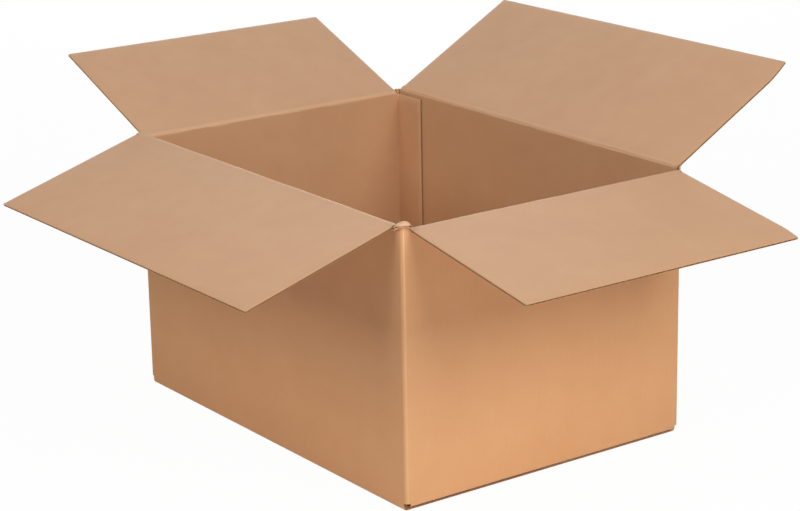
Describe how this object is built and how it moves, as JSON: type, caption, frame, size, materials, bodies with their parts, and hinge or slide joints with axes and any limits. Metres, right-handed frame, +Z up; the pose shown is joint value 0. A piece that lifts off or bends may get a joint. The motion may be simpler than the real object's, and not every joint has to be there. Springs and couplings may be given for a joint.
{
  "type": "open cardboard box",
  "caption": "Plain corrugated shipping box standing open, with top flaps that fold in to close it or hang down outside.",
  "frame": {"origin": "middle of the base, on the surface that the box stands on", "axes": "+Z up; X along the long walls, +X towards the right short wall; Y along the short walls, -Y towards the front long wall"},
  "size_m": [0.7384, 0.6056, 0.3352],
  "materials": {
    "board": "matt brown kraft paper liners over a fluted core, with a faint washboard",
    "dried_glue": "thin dried glue, dull and slightly yellow"
  },
  "bodies": {
    "box": {"box_sheet": "board", "joint_glue": "dried_glue", "bottom_glue": "dried_glue"},
    "front_flap": {"front_flap": "board"},
    "right_flap": {"right_flap": "board"},
    "back_flap": {"back_flap": "board"},
    "left_flap": {"left_flap": "board"}
  },
  "joints": [
    {"name": "front_flap_fold", "type": "hinge", "parent": "box", "child": "front_flap", "pos_m": [0, -0.158, 0.2556], "axis": [1, 0, 0], "range_deg": [-196.8, 68.2]},
    {"name": "right_flap_fold", "type": "hinge", "parent": "box", "child": "right_flap", "pos_m": [0.218, 0, 0.2523], "axis": [0, 1, 0], "range_deg": [-190.3, 74.7]},
    {"name": "back_flap_fold", "type": "hinge", "parent": "box", "child": "back_flap", "pos_m": [0, 0.158, 0.2556], "axis": [-1, 0, 0], "range_deg": [-150.8, 114.2]},
    {"name": "left_flap_fold", "type": "hinge", "parent": "box", "child": "left_flap", "pos_m": [-0.218, 0, 0.2523], "axis": [0, -1, 0], "range_deg": [-158.4, 106.6]}
  ]
}
